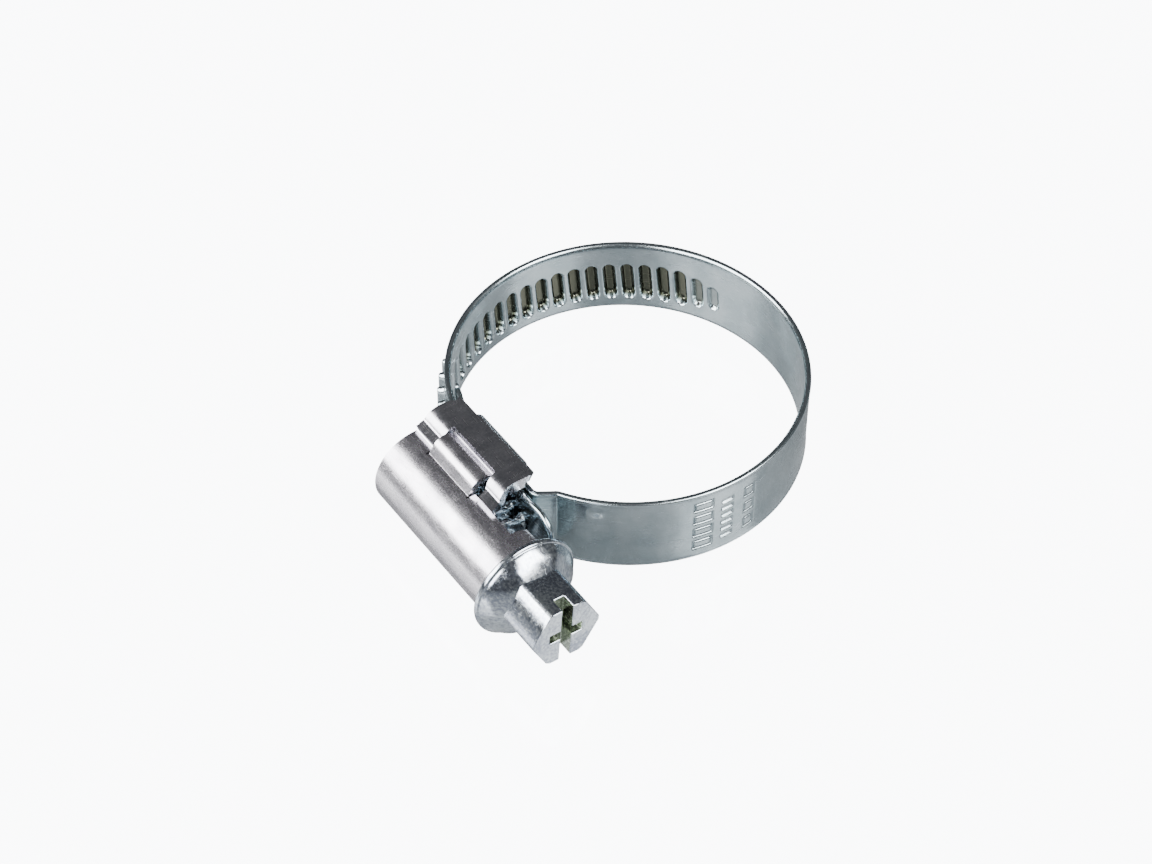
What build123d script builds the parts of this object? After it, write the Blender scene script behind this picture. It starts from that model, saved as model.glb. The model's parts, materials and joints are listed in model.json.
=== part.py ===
from build123d import *
import math
import os

# Worm drive hose clamp with a 9 mm band, in millimetres.
# The origin is the centre of the bore, half way up the band's width. +Z is the bore's axis, +X runs
# along the screw towards its head, and the housing is on the -Y side of the ring.
# The band is modelled as a chain of links with round hinges, which stand in for its bending.

MARGIN = 1.0

# band strip
BAND_WIDTH = 9.0
BAND_THICKNESS = 0.66
RING_OUTER_RADIUS = 18.34
RING_MIDDLE_RADIUS = RING_OUTER_RADIUS - BAND_THICKNESS / 2
TAIL_TIP_X = 13.0
TAIL_CORNER_RADIUS = 2.6

# ribs pressed outwards in the band, which the worm drives
RIB_PITCH = 1.9
RIB_PHASE = 0.31
RIB_LENGTH = 5.0
RIB_RADIUS = 0.55
RIB_RISE = 0.80
RIB_WALL = 0.36
RIB_HEIGHT_OFFSET = -0.7
RIB_DRIVE_RADIUS = 3.3
RIB_LEAN = math.degrees(math.atan(RIB_PITCH / (2 * math.pi * RIB_DRIVE_RADIUS)))
FIRST_RIB_ANGLE = 202.0
FIRST_RIB_FULLNESS = 0.45
RIB_FULLNESS_STEP = 0.25
SHORTEST_RIB_SHARE = 0.35
LAST_RIB_X = 8.6

# the band's links: long ones round the ring, and one per rib where it enters the housing
FIXED_END_ANGLE = 42.0
RING_LINKS = 8
SHORT_LINKS = 3
HINGE_GAP = 0.05
FIRST_SHORT_X = RIB_PHASE - RIB_PITCH / 2

# fixed end, under the tail
FIXED_GAP = 0.18
FIXED_MIDDLE_Y = -(RING_MIDDLE_RADIUS - BAND_THICKNESS - FIXED_GAP)
JOGGLE_ANGLE = 58.0
JOGGLE_RADIUS = 0.8
JOGGLE_LANDING_ANGLE = 33.0
TONGUE_END_X = -8.5
TONGUE_CORNER_RADIUS = 2.2

# worm screw
SCREW_Y = -22.5
THREAD_OUTER_RADIUS = 3.80
THREAD_CORE_RADIUS = 2.95
THREAD_CREST_WIDTH = 0.40
THREAD_ROOT_WIDTH = 0.85
THREAD_SINK = 0.15
THREAD_TURNS = 7
THREAD_END_CHAMFER = 0.7
THREAD_START_X = FIRST_SHORT_X - RIB_PITCH
SCREW_REAR_X = -2.9
NECK_RADIUS = 3.3
NECK_START_X = 11.6
FLANGE_REAR_X = 14.25
FLANGE_RADIUS = 5.72
FLANGE_RIM = 0.70
RIM_ROUNDING = 0.25
HEX_START_X = 16.95
HEX_END_X = 21.65
HEX_ACROSS_FLATS = 6.9
HEX_CORNER_RADIUS = 3.82
HEX_CHAMFER = 0.35
HEX_TURN = -3.2
SLOT_WIDTH = 1.25
SLOT_DEPTH = 1.6
CROSS_ARM = 2.05
CROSS_DEPTH = 2.6
CROSS_TAPER = 12

# worm housing, one rolled sheet round the screw
BARREL_SHEET = 0.70
BARREL_INNER_RADIUS = 3.95
BARREL_OUTER_RADIUS = BARREL_INNER_RADIUS + BARREL_SHEET
BARREL_MIDDLE_RADIUS = BARREL_INNER_RADIUS + BARREL_SHEET / 2
BARREL_REAR_X = -2.8
BARREL_FRONT_X = 14.1
BARREL_EDGE_ANGLE = 95.0
COLLAR_START_X = 11.7
COLLAR_EDGE_ANGLE = 120.0
CREASE_ANGLE = 86.0
CREASE_RADIUS = 0.6
TONGUE_SLOPE = 45.0
TONGUE_BULGE_RADIUS = 1.6
LEG_MIDDLE_Z = 5.3
LEG_TOP_Y = -19.3
LEG_BOTTOM_Y = -17.75
LEG_SETBACK = 0.1

# saddle, one folded sheet under the band, hooked over the housing's legs
SADDLE_SHEET = 0.80
SADDLE_REAR_X = -4.8
SADDLE_FRONT_X = 7.9
SADDLE_GAP = 0.02
SADDLE_MIDDLE_Y = FIXED_MIDDLE_Y + BAND_THICKNESS / 2 + SADDLE_GAP + SADDLE_SHEET / 2
SADDLE_WALL_Z = 6.1
SADDLE_BEND_RADIUS = 1.3
SADDLE_REAR_SWEEP = 25
HOOK_START_Y = -19.4
HOOK_BEND = 45.0
HOOK_RADIUS = 1.0
HOOK_GAP = 0.05
HOOK_FOOT_Z = BARREL_OUTER_RADIUS + HOOK_GAP + SADDLE_SHEET / 2
HOOK_FOOT_Y = -22.2
WINDOW_REAR_X = -1.6
WINDOW_FRONT_X = 5.6
WINDOW_GAP = 0.2

SCREW_PLANE = Plane(origin=(0, SCREW_Y, 0), x_dir=(0, 1, 0), z_dir=(1, 0, 0))


def band_location(s):
    """Frame on the band's middle line at length s from the tangent point: X along it, Y inwards."""
    if s >= 0:
        return Location((s, -RING_MIDDLE_RADIUS, 0))
    turn = math.degrees(s / RING_MIDDLE_RADIUS)
    return Rot(0, 0, turn) * Location((0, -RING_MIDDLE_RADIUS, 0))


def ring_point(radius, angle):
    """Point on a circle round the bore, with the angle counted from -Y towards +X."""
    return (radius * math.sin(math.radians(angle)), -radius * math.cos(math.radians(angle)))


def strip_solid(line, width=BAND_WIDTH, sheet=BAND_THICKNESS):
    """The sheet that follows a middle line in the XY plane, centred on Z = 0."""
    face = trace(line, line_width=sheet)
    return extrude(face, amount=width / 2, both=True)


def ring_arc(start, end, radius=RING_MIDDLE_RADIUS):
    """Middle line of the ring between two angles."""
    middle = (start + end) / 2
    points = [ring_point(radius, angle) for angle in (start, middle, end)]
    return ThreePointArc(*points)


def capsule(radius, length):
    """A bar along Z with round ends."""
    body = Cylinder(radius, length - 2 * radius)
    ends = [Pos(0, 0, side * (length / 2 - radius)) * Sphere(radius) for side in (-1, 1)]
    return body + ends


def add_rib(strip, s, fullness=1.0):
    """Press one rib outwards at length s: a bar outside, and its hollow inside."""
    centre_depth = -(BAND_THICKNESS / 2 + RIB_RISE * fullness - RIB_RADIUS)
    length = RIB_LENGTH * (SHORTEST_RIB_SHARE + (1 - SHORTEST_RIB_SHARE) * fullness)
    place = band_location(s) * Pos(0, centre_depth, RIB_HEIGHT_OFFSET) * Rot(0, RIB_LEAN, 0)
    inner_radius = RIB_RADIUS - RIB_WALL * fullness ** 0.5 / 2
    hollow = capsule(inner_radius, length - RIB_WALL)
    mouth_depth = BAND_THICKNESS + RIB_RISE
    mouth = Pos(0, mouth_depth / 2, 0) * Box(2 * inner_radius, mouth_depth, length - 2 * RIB_RADIUS)
    return strip + place * capsule(RIB_RADIUS, length) - place * hollow - place * mouth


def rib_positions():
    """Lengths of all ribs from the tangent point, and how fully each is pressed."""
    first = math.radians(FIRST_RIB_ANGLE - 360) * RING_MIDDLE_RADIUS
    first_index = math.ceil((first - RIB_PHASE) / RIB_PITCH)
    last_index = math.floor((LAST_RIB_X - RIB_PHASE) / RIB_PITCH)
    ribs = []
    for index in range(first_index, last_index + 1):
        fullness = FIRST_RIB_FULLNESS + RIB_FULLNESS_STEP * (index - first_index)
        ribs.append((RIB_PHASE + index * RIB_PITCH, min(1.0, fullness)))
    return ribs


def hinge_positions():
    """Lengths of the band's hinges from the tangent point, all but the first between two ribs."""
    start = math.radians(FIXED_END_ANGLE - 360) * RING_MIDDLE_RADIUS
    pitches = (FIRST_SHORT_X - start) / RIB_PITCH
    steps = [-round(pitches * (1 - i / RING_LINKS)) for i in range(1, RING_LINKS)]
    steps += range(SHORT_LINKS + 1)
    return [start] + [FIRST_SHORT_X + RIB_PITCH * step for step in steps]


def link_line(start, end):
    """Middle line of the moving band between two lengths."""
    angle = 360 + math.degrees(start / RING_MIDDLE_RADIUS)
    if start >= 0:
        return Line((start, -RING_MIDDLE_RADIUS), (end, -RING_MIDDLE_RADIUS))
    if end <= 0:
        return ring_arc(angle, 360 + math.degrees(end / RING_MIDDLE_RADIUS))
    return ring_arc(angle, 360) + Line((0, -RING_MIDDLE_RADIUS), (end, -RING_MIDDLE_RADIUS))


def hinge_nose(s):
    """Round end of a link, on its hinge."""
    return band_location(s) * Cylinder(BAND_THICKNESS / 2, BAND_WIDTH)


def hinge_hollow(s):
    """Round hollow in the next link, which the nose sits in."""
    return band_location(s) * Cylinder(BAND_THICKNESS / 2 + HINGE_GAP, BAND_WIDTH + MARGIN)


def band_link(start, end, ribs, nose=True):
    """One rigid stretch of the moving band, between two hinges."""
    link = strip_solid(link_line(start, end)) - hinge_hollow(start)
    if nose:
        link += hinge_nose(end)
    for s, fullness in ribs:
        if start < s < end:
            link = add_rib(link, s, fullness)
    return link


def rounded_end(solid, x, side, radius):
    """Round off the two corners of a strip's end at x, seen along Y."""
    corner = Pos(x - side * radius, 0, 0) * Rot(90, 0, 0)
    half = BAND_WIDTH / 2
    square = Rectangle(radius * 2, BAND_WIDTH + MARGIN)
    keep = Rectangle(radius * 2, BAND_WIDTH - 2 * radius)
    keep += [Pos(0, k * (half - radius)) * Circle(radius) for k in (-1, 1)]
    cutter = square - keep
    cutter = cutter & Pos(side * radius, 0) * Rectangle(radius * 2, BAND_WIDTH + 2 * MARGIN)
    return solid - corner * extrude(cutter, amount=2 * RING_OUTER_RADIUS, both=True)


def band_tail(start, ribs):
    """The straight free end of the band, which comes out at the screw's head."""
    tail = band_link(start, TAIL_TIP_X, ribs, nose=False)
    return rounded_end(tail, TAIL_TIP_X, 1, TAIL_CORNER_RADIUS)


def band_fixed_end():
    """The fixed end: ring, joggle inwards, straight under the screw, tongue out at the back."""
    bend = math.radians(JOGGLE_ANGLE)
    landing = math.radians(JOGGLE_LANDING_ANGLE)
    end = ring_point(RING_MIDDLE_RADIUS, JOGGLE_LANDING_ANGLE)
    rise = end[1] - FIXED_MIDDLE_Y
    bends_rise = JOGGLE_RADIUS * (1 + math.cos(landing) - 2 * math.cos(bend))
    ramp = (rise - bends_rise) / math.sin(bend)
    bends_run = JOGGLE_RADIUS * (2 * math.sin(bend) - math.sin(landing))
    start_x = end[0] - bends_run - ramp * math.cos(bend)
    tongue_angle = math.degrees(math.asin(TONGUE_END_X / -FIXED_MIDDLE_Y))
    tongue = ring_arc(tongue_angle, 0, -FIXED_MIDDLE_Y)
    flat = Line((0, FIXED_MIDDLE_Y), (start_x, FIXED_MIDDLE_Y))
    first = JernArc(flat @ 1, flat % 1, JOGGLE_RADIUS, JOGGLE_ANGLE)
    slope = Line(first @ 1, first @ 1 + (first % 1) * ramp)
    second = JernArc(slope @ 1, slope % 1, JOGGLE_RADIUS, JOGGLE_LANDING_ANGLE - JOGGLE_ANGLE)
    ring = ring_arc(JOGGLE_LANDING_ANGLE, FIXED_END_ANGLE)
    strip = strip_solid(Wire([*tongue.edges(), *flat.edges(), *first.edges(), *slope.edges(),
                              *second.edges(), *ring.edges()]))
    strip += Rot(0, 0, FIXED_END_ANGLE) * Pos(0, -RING_MIDDLE_RADIUS, 0) * Cylinder(
        BAND_THICKNESS / 2, BAND_WIDTH)
    return rounded_end(strip, TONGUE_END_X, -1, TONGUE_CORNER_RADIUS)


def worm_screw():
    """Threaded shank, flange with a conical seat, and slotted hexagon head, turned about +X."""
    shank = bar(THREAD_CORE_RADIUS, SCREW_REAR_X, NECK_START_X)
    neck = bar(NECK_RADIUS, NECK_START_X, FLANGE_REAR_X)
    blank = bar(THREAD_OUTER_RADIUS + THREAD_SINK, SCREW_REAR_X, NECK_START_X)
    blank = chamfer(blank.edges().filter_by(GeomType.CIRCLE), THREAD_END_CHAMFER)
    screw = shank + neck + (thread_ridge() & blank) + screw_head() - drive_recess()
    return SCREW_PLANE * screw


def bar(radius, start, end):
    """Round bar along the screw's axis, between two positions on it."""
    align = (Align.CENTER, Align.CENTER, Align.MIN)
    return Pos(0, 0, start) * Cylinder(radius, end - start, align=align)


def thread_ridge():
    """The worm thread, right-handed, with its ridges half way between the band's ribs."""
    path = Helix(RIB_PITCH, RIB_PITCH * THREAD_TURNS, THREAD_CORE_RADIUS)
    depth = THREAD_OUTER_RADIUS - THREAD_CORE_RADIUS
    root = THREAD_ROOT_WIDTH / 2
    crest = THREAD_CREST_WIDTH / 2
    corners = [(-THREAD_SINK, -root), (depth, -crest), (depth, crest), (-THREAD_SINK, root)]
    section_plane = Plane(origin=path @ 0, x_dir=(1, 0, 0), z_dir=path % 0)
    section = section_plane * make_face(Polyline(*corners, close=True))
    return Pos(0, 0, THREAD_START_X) * sweep(section, path, is_frenet=True)


def screw_head():
    """Flange rim, cone that turns from round to hexagonal, and hexagon with rounded corners."""
    rim_end = FLANGE_REAR_X + FLANGE_RIM
    rim = bar(FLANGE_RADIUS, FLANGE_REAR_X, rim_end)
    rim = fillet(rim.edges().filter_by(GeomType.CIRCLE), RIM_ROUNDING)
    hexagon = RegularPolygon(HEX_ACROSS_FLATS / math.sqrt(3), 6, rotation=HEX_TURN)
    cone_base = Pos(0, 0, rim_end) * Circle(FLANGE_RADIUS - RIM_ROUNDING)
    cone = loft([cone_base.face(), (Pos(0, 0, HEX_START_X) * hexagon).face()])
    head = Pos(0, 0, HEX_START_X) * extrude(hexagon, amount=HEX_END_X - HEX_START_X)
    rounding = bar(HEX_CORNER_RADIUS, HEX_START_X, HEX_END_X)
    rounding = chamfer(rounding.edges().sort_by(Axis.Z)[-1], HEX_CHAMFER)
    return rim + cone + (head & rounding)


def drive_recess():
    """Slot right across the end face, and a cross recess in its middle."""
    slot = Pos(0, 0, HEX_END_X) * Box(SLOT_WIDTH, 2 * HEX_ACROSS_FLATS, 2 * SLOT_DEPTH)
    arms = Rectangle(SLOT_WIDTH, 2 * CROSS_ARM) + Rectangle(2 * CROSS_ARM, SLOT_WIDTH)
    cross = extrude(Pos(0, 0, HEX_END_X) * arms, amount=-CROSS_DEPTH, taper=CROSS_TAPER)
    return Rot(0, 0, HEX_TURN) * (slot + cross)


def sheet_prism(edges, sheet, start, end, plane):
    """Folded sheet: a middle line in a plane across X, extruded between two X positions."""
    face = trace(Wire(edges), line_width=sheet)
    return Pos(start, 0, 0) * (plane * extrude(face, amount=end - start, dir=(0, 0, 1)))


def both_sides(solid):
    """A shape and its mirror image below the middle of the band's width."""
    return [solid, mirror(solid, Plane.XY)]


def barrel_arc(edge_angle):
    """Middle line of the barrel, open towards the ring past an angle counted from -Y."""
    radius = BARREL_MIDDLE_RADIUS
    edge = math.radians(edge_angle)
    side = (-radius * math.cos(edge), radius * math.sin(edge))
    return ThreePointArc((side[0], -side[1]), (-radius, 0), side)


def housing_leg():
    """Middle line from the barrel's crease over the bulging tongue and down the leg."""
    crease = math.radians(CREASE_ANGLE)
    start = (-BARREL_MIDDLE_RADIUS * math.cos(crease), BARREL_MIDDLE_RADIUS * math.sin(crease))
    heading = 90 - CREASE_ANGLE
    slope = math.radians(TONGUE_SLOPE)
    turn_in = JernArc(start, (math.sin(crease), math.cos(crease)), CREASE_RADIUS,
                      TONGUE_SLOPE - heading)
    bulge_rise = TONGUE_BULGE_RADIUS * (1 - math.cos(slope))
    ramp_length = (LEG_MIDDLE_Z - bulge_rise - (turn_in @ 1).Y) / math.sin(slope)
    ramp = Line(turn_in @ 1, turn_in @ 1 + (turn_in % 1) * ramp_length)
    bulge = JernArc(ramp @ 1, ramp % 1, TONGUE_BULGE_RADIUS, -TONGUE_SLOPE)
    leg = Line(bulge @ 1, (LEG_BOTTOM_Y - SCREW_Y, LEG_MIDDLE_Z))
    return [turn_in, ramp, bulge, leg]


def worm_housing():
    """Rolled sheet round the screw, with a front collar and a leg down each side of the band."""
    tongue_rear = WINDOW_REAR_X + WINDOW_GAP
    tongue_front = WINDOW_FRONT_X - WINDOW_GAP
    edge_arc = [barrel_arc(BARREL_EDGE_ANGLE)]
    rear = sheet_prism(edge_arc, BARREL_SHEET, BARREL_REAR_X, tongue_rear, SCREW_PLANE)
    front = sheet_prism(edge_arc, BARREL_SHEET, tongue_front, COLLAR_START_X, SCREW_PLANE)
    collar = sheet_prism([barrel_arc(COLLAR_EDGE_ANGLE)], BARREL_SHEET, COLLAR_START_X,
                         BARREL_FRONT_X, SCREW_PLANE)
    middle = sheet_prism([barrel_arc(CREASE_ANGLE)], BARREL_SHEET, tongue_rear, tongue_front,
                         SCREW_PLANE)
    tongue = sheet_prism(housing_leg(), BARREL_SHEET, tongue_rear, tongue_front, SCREW_PLANE)
    leg_line = [Line((LEG_TOP_Y - SCREW_Y, LEG_MIDDLE_Z), (LEG_BOTTOM_Y - SCREW_Y, LEG_MIDDLE_Z))]
    leg = sheet_prism(leg_line, BARREL_SHEET, SADDLE_REAR_X + LEG_SETBACK,
                      SADDLE_FRONT_X - LEG_SETBACK, SCREW_PLANE)
    return rear + front + collar + middle + both_sides(tongue) + both_sides(leg)


def saddle_base():
    """Middle line of the saddle's plate, bend and side wall, above the middle of the band."""
    plate = Line((SADDLE_MIDDLE_Y, 0), (SADDLE_MIDDLE_Y, SADDLE_WALL_Z - SADDLE_BEND_RADIUS))
    bend = JernArc(plate @ 1, plate % 1, SADDLE_BEND_RADIUS, 90)
    wall = Line(bend @ 1, (HOOK_START_Y, SADDLE_WALL_Z))
    return [plate, bend, wall]


def saddle_hook():
    """Middle line of one hook, from the side wall in an S down on to the barrel."""
    bend = math.radians(HOOK_BEND)
    ramp_drop = SADDLE_WALL_Z - HOOK_FOOT_Z - 2 * HOOK_RADIUS * (1 - math.cos(bend))
    over = JernArc((HOOK_START_Y, SADDLE_WALL_Z), (-1, 0), HOOK_RADIUS, HOOK_BEND)
    ramp = Line(over @ 1, over @ 1 + (over % 1) * (ramp_drop / math.sin(bend)))
    back = JernArc(ramp @ 1, ramp % 1, HOOK_RADIUS, -HOOK_BEND)
    foot = Line(back @ 1, (HOOK_FOOT_Y, HOOK_FOOT_Z))
    return [over, ramp, back, foot]


def saddle():
    """Folded sheet under the band, with two hooks on each side that hold the housing down.

    Behind the tangent point its plate curves with the ring, and its side walls stay flat.
    """
    across = Plane.YZ
    front = sheet_prism(saddle_base(), SADDLE_SHEET, 0, SADDLE_FRONT_X, across)
    section = across * trace(Wire(saddle_base()), line_width=SADDLE_SHEET)
    rear = revolve(section, Axis.Z, -SADDLE_REAR_SWEEP)
    reach = 4 * RING_OUTER_RADIUS
    rear_space = Pos(SADDLE_REAR_X, 0, 0) * Box(
        -SADDLE_REAR_X, reach, reach, align=(Align.MIN, Align.CENTER, Align.CENTER))
    wall = [Line((HOOK_START_Y + SADDLE_SHEET, SADDLE_WALL_Z), (HOOK_START_Y, SADDLE_WALL_Z))]
    rear_wall = sheet_prism(wall, SADDLE_SHEET, SADDLE_REAR_X, 0, across)
    rear_hook = sheet_prism(saddle_hook(), SADDLE_SHEET, SADDLE_REAR_X, WINDOW_REAR_X, across)
    front_hook = sheet_prism(saddle_hook(), SADDLE_SHEET, WINDOW_FRONT_X, SADDLE_FRONT_X, across)
    half = front + (rear & rear_space) + rear_wall + rear_hook + front_hook
    return Part() + both_sides(half)


def all_parts():
    """Every node's name and solid."""
    ribs = rib_positions()
    hinges = hinge_positions()
    parts = {
        "band_fixed_end": band_fixed_end(),
        "band_tail": band_tail(hinges[-1], ribs),
        "worm_housing": worm_housing(),
        "saddle": saddle(),
        "worm_screw": worm_screw(),
    }
    for number, (start, end) in enumerate(zip(hinges, hinges[1:]), 1):
        parts[f"band_link_{number:02d}"] = band_link(start, end, ribs)
    return parts


if __name__ == "__main__":
    os.makedirs("parts", exist_ok=True)
    for name, solid in all_parts().items():
        export_step(solid, f"parts/{name}.step")
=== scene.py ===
"""Looks of the worm drive hose clamp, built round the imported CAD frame.

Lengths in this script are millimetres in the CAD frame, and become metres when a piece is made.
"""
import json
import math

import bpy
import numpy as np
from mathutils import Matrix, Vector

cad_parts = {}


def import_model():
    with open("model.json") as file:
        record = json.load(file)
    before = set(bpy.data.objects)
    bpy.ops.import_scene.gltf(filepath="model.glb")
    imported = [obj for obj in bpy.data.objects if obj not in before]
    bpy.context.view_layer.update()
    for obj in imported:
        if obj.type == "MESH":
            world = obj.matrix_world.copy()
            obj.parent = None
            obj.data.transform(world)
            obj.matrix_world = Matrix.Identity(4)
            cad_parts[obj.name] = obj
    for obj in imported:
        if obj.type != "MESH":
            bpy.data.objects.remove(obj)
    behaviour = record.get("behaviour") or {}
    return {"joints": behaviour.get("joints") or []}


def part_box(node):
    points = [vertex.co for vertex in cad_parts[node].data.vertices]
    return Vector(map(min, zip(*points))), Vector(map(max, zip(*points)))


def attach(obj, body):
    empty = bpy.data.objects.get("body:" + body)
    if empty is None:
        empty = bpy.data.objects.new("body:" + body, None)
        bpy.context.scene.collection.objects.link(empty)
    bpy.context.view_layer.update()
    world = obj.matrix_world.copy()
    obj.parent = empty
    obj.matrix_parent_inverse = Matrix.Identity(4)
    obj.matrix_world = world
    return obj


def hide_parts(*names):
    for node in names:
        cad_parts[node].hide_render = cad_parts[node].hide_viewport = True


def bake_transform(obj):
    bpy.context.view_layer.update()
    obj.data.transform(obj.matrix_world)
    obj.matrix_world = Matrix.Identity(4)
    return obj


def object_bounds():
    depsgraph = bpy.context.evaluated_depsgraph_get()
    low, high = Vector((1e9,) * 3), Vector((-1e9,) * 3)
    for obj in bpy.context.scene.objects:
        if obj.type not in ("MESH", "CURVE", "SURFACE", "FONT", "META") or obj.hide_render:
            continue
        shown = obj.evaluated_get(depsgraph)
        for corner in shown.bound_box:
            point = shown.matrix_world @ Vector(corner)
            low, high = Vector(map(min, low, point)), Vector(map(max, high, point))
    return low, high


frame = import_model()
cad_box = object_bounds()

MM = 0.001
TINY = 1e-9
ROUNDING_ERROR = 1e-6


def node_box(node):
    """Lowest and highest corner of a CAD node, in millimetres."""
    low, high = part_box(node)
    return low / MM, high / MM


# ---------------------------------------------------------------- sizes

TAIL_LOW, TAIL_HIGH = node_box("band_tail")
BARREL_LOW, BARREL_HIGH = node_box("worm_housing")
SADDLE_LOW, SADDLE_HIGH = node_box("saddle")
SCREW_LOW, SCREW_HIGH = node_box("worm_screw")
HINGES = [joint for joint in frame["joints"] if joint["name"].startswith("band_bend")]

BAND_WIDTH = TAIL_HIGH.z - TAIL_LOW.z
BAND_SHEET = 0.66
RING_RADIUS = -HINGES[-1]["pos_m"][1] / MM
TAIL_TIP = TAIL_HIGH.x
TAIL_CORNER = 2.6

# the fixed end: a tongue under the screw, and the joggle that brings the strip out to the ring
FIXED_GAP = 0.18
FIXED_RADIUS = RING_RADIUS - BAND_SHEET - FIXED_GAP
JOGGLE_ANGLE = 58.0
JOGGLE_RADIUS = 0.8
LANDING_ANGLE = 33.0
TONGUE_END = -8.5
TONGUE_CORNER = 2.2

# pressed ribs: raised outside, hollow inside
RIB_PITCH = 1.9
RIB_PHASE = 0.31
RIB_LENGTH = 5.0
RIB_RISE = 0.80
RIB_FOOT = 0.70
RIB_FLANK = 0.42
RECESS_FOOT = 0.74
RECESS_FLANK = 0.42
RECESS_DEPTH = 0.78
RIB_MIDDLE = -0.7
RIB_DRIVE_RADIUS = 3.3
RIB_LEAN = RIB_PITCH / (2 * math.pi * RIB_DRIVE_RADIUS)
FIRST_RIB_ANGLE = 202.0
FIRST_RIB = math.radians(FIRST_RIB_ANGLE - 360) * RING_RADIUS
FIRST_RIB_FULLNESS = 0.45
RIB_FULLNESS_STEP = 0.25
SHORTEST_RIB_SHARE = 0.35
LAST_RIB = 8.6

SCREW_Y = (SCREW_LOW.y + SCREW_HIGH.y) / 2
BARREL_SHEET = 0.70
BARREL_RADIUS = 4.30
SADDLE_SHEET = 0.80


# ---------------------------------------------------------------- mesh helpers

def set_attribute(mesh, name, values):
    """Store a number or a vector for each point, which the materials read."""
    values = np.asarray(values, np.float32)
    kind, field = ("FLOAT", "value") if values.ndim == 1 else ("FLOAT_VECTOR", "vector")
    mesh.attributes.new(name, kind, "POINT").data.foreach_set(field, values.ravel())


def make_piece(name, points, faces, material, grain=None, normals=None, hollow=None, smooth=True):
    """A mesh object from points in millimetres.

    grain holds the place that the materials' noise reads for each point, on the flat sheet or on the
    solid, and hollow how deep the point lies in a recess.
    """
    mesh = bpy.data.meshes.new(name)
    mesh.from_pydata((np.asarray(points, float) * MM).tolist(), [], faces)
    mesh.validate()
    if grain is not None:
        set_attribute(mesh, "grain", grain)
    if hollow is not None:
        set_attribute(mesh, "hollow", hollow)
    piece = bpy.data.objects.new(name, mesh)
    bpy.context.scene.collection.objects.link(piece)
    mesh.materials.append(material)
    mesh.polygons.foreach_set("use_smooth", [smooth] * len(mesh.polygons))
    if normals is not None:
        mesh.normals_split_custom_set_from_vertices(np.asarray(normals, float).tolist())
    return piece


def apply_modifiers(piece):
    """Turn a piece's modifiers into its mesh."""
    graph = bpy.context.evaluated_depsgraph_get()
    mesh = bpy.data.meshes.new_from_object(piece.evaluated_get(graph))
    old = piece.data
    piece.modifiers.clear()
    piece.data = mesh
    bpy.data.meshes.remove(old)
    mesh.name = piece.name
    return piece


def soften_edges(piece, width, segments=3, angle=40):
    """Round the sharp edges, and keep the flat faces flat."""
    bevel = piece.modifiers.new("bevel", "BEVEL")
    bevel.width = width * MM
    bevel.segments = segments
    bevel.limit_method = "ANGLE"
    bevel.angle_limit = math.radians(angle)
    bevel.harden_normals = True
    bevel.miter_outer = "MITER_ARC"
    return piece


def steps(breaks, pitch):
    """Positions through every break, with no gap above the pitch."""
    breaks = sorted(breaks)
    found = [breaks[0]]
    for low, high in zip(breaks, breaks[1:]):
        count = max(1, math.ceil((high - low) / pitch - ROUNDING_ERROR))
        found += [low + (high - low) * k / count for k in range(1, count + 1)]
    return np.array(found)


def smooth_step(t):
    """Rise from 0 to 1 as t does, level at both ends."""
    t = np.clip(t, 0, 1)
    return t * t * (3 - 2 * t)


# ---------------------------------------------------------------- paths in a plane

def move_on(x, y, heading, bend, length):
    """The point reached after a length along a straight or round move."""
    if abs(bend) < TINY:
        return x + length * math.cos(heading), y + length * math.sin(heading)
    turned = heading + bend * length
    return (x + (np.sin(turned) - math.sin(heading)) / bend,
            y - (np.cos(turned) - math.cos(heading)) / bend)


def walk(path, lengths):
    """Points and headings at these lengths along a path of straight and round moves.

    path is (start point, start heading, [(length, turn), ...]), with angles in radians.
    """
    (x, y), heading, moves = path
    lengths = np.asarray(lengths, float)
    px, py, ph = (np.zeros_like(lengths) for _ in range(3))
    done = 0.0
    for number, (length, turn) in enumerate(moves):
        last = number == len(moves) - 1
        here = (lengths >= done - TINY) if number else np.ones(len(lengths), bool)
        if not last:
            here &= lengths < done + length - TINY
        at = lengths[here] - done
        bend = turn / length
        px[here], py[here] = move_on(x, y, heading, bend, at)
        ph[here] = heading + bend * at
        x, y = move_on(x, y, heading, bend, length)
        heading += turn
        done += length
    return np.stack([px, py], 1), ph


def arc_move(radius, degrees):
    """A round move: its length and its turn."""
    return radius * math.radians(abs(degrees)), math.radians(degrees)


# ---------------------------------------------------------------- band

def band_path():
    """The whole strip's middle line from the tongue's end, and its length up to the tangent point."""
    bend = math.radians(JOGGLE_ANGLE)
    landing = math.radians(LANDING_ANGLE)
    rise = FIXED_RADIUS - RING_RADIUS * math.cos(landing)
    bends_rise = JOGGLE_RADIUS * (1 + math.cos(landing) - 2 * math.cos(bend))
    ramp = (rise - bends_rise) / math.sin(bend)
    bends_run = JOGGLE_RADIUS * (2 * math.sin(bend) - math.sin(landing))
    flat = RING_RADIUS * math.sin(landing) - bends_run - ramp * math.cos(bend)
    tongue = math.asin(TONGUE_END / FIXED_RADIUS)
    moves = [arc_move(FIXED_RADIUS, -math.degrees(tongue)), (flat, 0.0),
             arc_move(JOGGLE_RADIUS, JOGGLE_ANGLE), (ramp, 0.0),
             arc_move(JOGGLE_RADIUS, LANDING_ANGLE - JOGGLE_ANGLE),
             arc_move(RING_RADIUS, 360 - LANDING_ANGLE), (TAIL_TIP, 0.0)]
    start = (FIXED_RADIUS * math.sin(tongue), -FIXED_RADIUS * math.cos(tongue))
    before_tangent = sum(length for length, turn in moves[:-1])
    return (start, tongue, moves), before_tangent


def ring_length(angle):
    """Length from the tangent point to an angle on the ring, counted from -Y towards +X."""
    return math.radians(angle - 360) * RING_RADIUS


STRAIGHT_TOLERANCE = 0.001


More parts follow.
